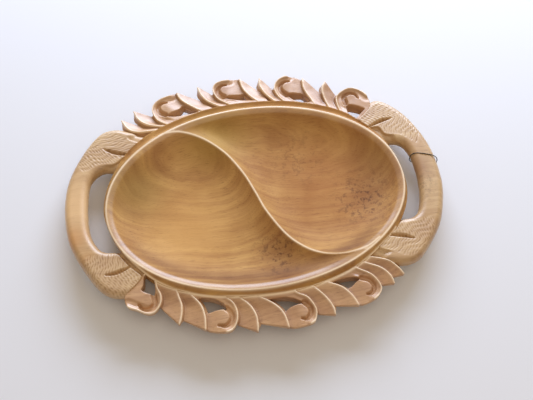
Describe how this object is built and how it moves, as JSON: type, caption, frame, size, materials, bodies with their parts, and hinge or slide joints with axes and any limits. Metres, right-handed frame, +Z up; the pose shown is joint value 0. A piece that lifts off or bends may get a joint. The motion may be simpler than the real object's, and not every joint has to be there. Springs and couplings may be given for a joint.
{
  "type": "carved wooden bowl",
  "caption": "Oval carved wooden serving bowl with two teardrop hollows parted by an S-shaped ridge, a pierced leaf and scroll border, and a loop handle at each end.",
  "frame": {"origin": "centre of the flat base, on the surface it stands on", "axes": "+X along the length towards the handle with the cord, +Y towards the long side with the far border, +Z up out of the hollows"},
  "size_m": [0.4641, 0.3461, 0.038],
  "materials": {
    "carved_wood": "hand carved and scraped, thin satin wax",
    "cord": "thin twisted black cord"
  },
  "bodies": {
    "root": {"bowl_body": "carved_wood", "far_leaf_1": "carved_wood", "far_leaf_2": "carved_wood", "far_leaf_3": "carved_wood", "far_leaf_4": "carved_wood", "far_leaf_5": "carved_wood", "far_leaf_6": "carved_wood", "far_leaf_7": "carved_wood", "far_leaf_8": "carved_wood", "far_scroll_1": "carved_wood", "far_scroll_2": "carved_wood", "far_scroll_3": "carved_wood", "far_scroll_4": "carved_wood", "left_handle": "carved_wood", "near_leaf_1": "carved_wood", "near_leaf_2": "carved_wood", "near_leaf_3": "carved_wood", "near_leaf_4": "carved_wood", "near_leaf_5": "carved_wood", "near_leaf_6": "carved_wood", "near_leaf_7": "carved_wood", "near_leaf_8": "carved_wood", "near_scroll_1": "carved_wood", "near_scroll_2": "carved_wood", "near_scroll_3": "carved_wood", "near_scroll_4": "carved_wood", "right_handle": "carved_wood", "s_divider": "carved_wood", "tag_cord": "cord"}
  },
  "joints": []
}
